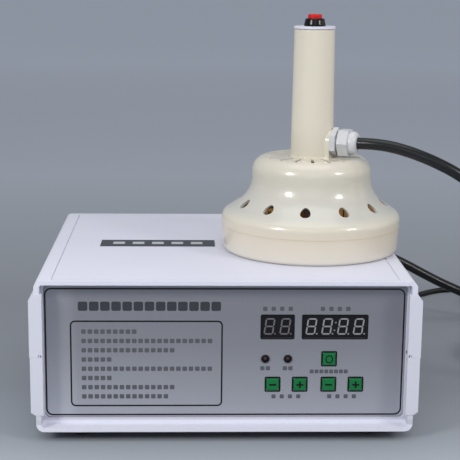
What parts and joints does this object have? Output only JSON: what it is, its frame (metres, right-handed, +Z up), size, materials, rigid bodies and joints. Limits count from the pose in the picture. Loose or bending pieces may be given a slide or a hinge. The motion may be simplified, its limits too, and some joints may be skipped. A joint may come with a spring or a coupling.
{
  "type": "induction cap sealer",
  "caption": "Bench induction sealer: a shallow plastic case with keypad and displays, and a bell-shaped sealing head with an upright handle and button, joined by a cable.",
  "frame": {"origin": "on the table, under the middle of the case", "axes": "+X to the right of someone facing the control panel, +Y from the panel to the rear, +Z up"},
  "size_m": [0.5463, 0.4835, 0.3353],
  "materials": {
    "white_abs": "moulded ABS, fine texture, satin",
    "panel_grey": "moulded ABS, grey",
    "panel_film": "screen-printed polycarbonate film, satin",
    "strip_film": "printed polycarbonate film, satin",
    "foot_rubber": "moulded rubber",
    "zinc_screw": "zinc-plated steel",
    "display_black": "smoked epoxy face in a plastic housing",
    "lamp_red": "tinted epoxy, unlit",
    "black_plastic": "moulded black plastic",
    "key_green": "moulded green plastic",
    "board_laminate": "glass-epoxy laminate",
    "sink_aluminium": "extruded aluminium",
    "device_epoxy": "moulded epoxy",
    "film_blue": "plastic capacitor case",
    "film_yellow": "plastic capacitor case",
    "copper_winding": "enamelled copper wire",
    "core_steel": "varnished steel laminations",
    "cream_abs": "glossy moulded ABS",
    "former_board": "phenolic board",
    "ferrite": "sintered ferrite",
    "cap_white": "turned white plastic",
    "button_red": "moulded red plastic",
    "gland_nylon": "moulded white nylon",
    "cable_pvc": "extruded black sheath",
    "pin_brass": "drawn brass"
  },
  "bodies": {
    "case": {"upper_shell": "white_abs", "lower_shell": "white_abs", "rear_panel": "white_abs", "front_panel": "panel_grey", "front_film": "panel_film", "top_strip": "strip_film", "feet": "foot_rubber", "gland_seals": "foot_rubber", "case_screws": "zinc_screw", "board_screws": "zinc_screw", "fan_screws": "zinc_screw", "base_screws": "zinc_screw", "trigger_nut": "zinc_screw", "two_digit_display": "display_black", "four_digit_display": "display_black", "power_lamp": "lamp_red", "work_lamp": "lamp_red", "lamp_clips": "black_plastic", "key_switches": "black_plastic", "fan_frame": "black_plastic", "fan_guard": "black_plastic", "mains_switch": "black_plastic", "trigger_body": "black_plastic", "control_board": "board_laminate", "power_board": "board_laminate", "heat_sink": "sink_aluminium", "power_transistors": "device_epoxy", "resonant_capacitor": "film_blue", "filter_capacitors": "film_yellow", "filter_choke": "copper_winding", "induction_coil": "copper_winding", "control_transformer": "core_steel", "head_bell": "cream_abs", "head_base": "cream_abs", "coil_former": "former_board", "ferrite_bars": "ferrite", "handle_cap": "cap_white", "head_gland_body": "gland_nylon", "head_gland_nut": "gland_nylon", "case_gland_body": "gland_nylon", "case_gland_nut": "gland_nylon", "case_gland_locknut": "gland_nylon", "head_cable_out": "cable_pvc", "head_cable_coil": "cable_pvc", "head_cable_back": "cable_pvc", "mains_lead": "cable_pvc", "mains_coil": "cable_pvc", "mains_tail": "cable_pvc", "mains_plug": "cable_pvc", "lead_grip": "cable_pvc", "plug_pins": "pin_brass"},
    "key_reset": {"key_reset": "key_green"},
    "key_time_minus": {"key_time_minus": "key_green"},
    "key_time_plus": {"key_time_plus": "key_green"},
    "key_power_minus": {"key_power_minus": "key_green"},
    "key_power_plus": {"key_power_plus": "key_green"},
    "trigger_button": {"trigger_button": "button_red"},
    "mains_rocker": {"mains_rocker": "black_plastic"},
    "fan_rotor": {"fan_rotor": "black_plastic"}
  },
  "joints": [
    {"name": "key_reset_press", "type": "slide", "parent": "case", "child": "key_reset", "axis": [0, 1, 0], "range_m": [0, 0.0006], "stiffness_N_per_m": 1500},
    {"name": "key_time_minus_press", "type": "slide", "parent": "case", "child": "key_time_minus", "axis": [0, 1, 0], "range_m": [0, 0.0006], "stiffness_N_per_m": 1500},
    {"name": "key_time_plus_press", "type": "slide", "parent": "case", "child": "key_time_plus", "axis": [0, 1, 0], "range_m": [0, 0.0006], "stiffness_N_per_m": 1500},
    {"name": "key_power_minus_press", "type": "slide", "parent": "case", "child": "key_power_minus", "axis": [0, 1, 0], "range_m": [0, 0.0006], "stiffness_N_per_m": 1500},
    {"name": "key_power_plus_press", "type": "slide", "parent": "case", "child": "key_power_plus", "axis": [0, 1, 0], "range_m": [0, 0.0006], "stiffness_N_per_m": 1500},
    {"name": "trigger_press", "type": "slide", "parent": "case", "child": "trigger_button", "axis": [0, 0, -1], "range_m": [0, 0.0025], "stiffness_N_per_m": 800, "springref_m": -0.0008},
    {"name": "mains_rocker_tilt", "type": "hinge", "parent": "case", "child": "mains_rocker", "pos_m": [0.02, 0.123, 0.095], "axis": [-1, 0, 0], "range_deg": [0, 14]},
    {"name": "fan_spin", "type": "hinge", "parent": "case", "child": "fan_rotor", "pos_m": [-0.075, 0.11, 0.07], "axis": [0, 1, 0], "continuous": true}
  ]
}
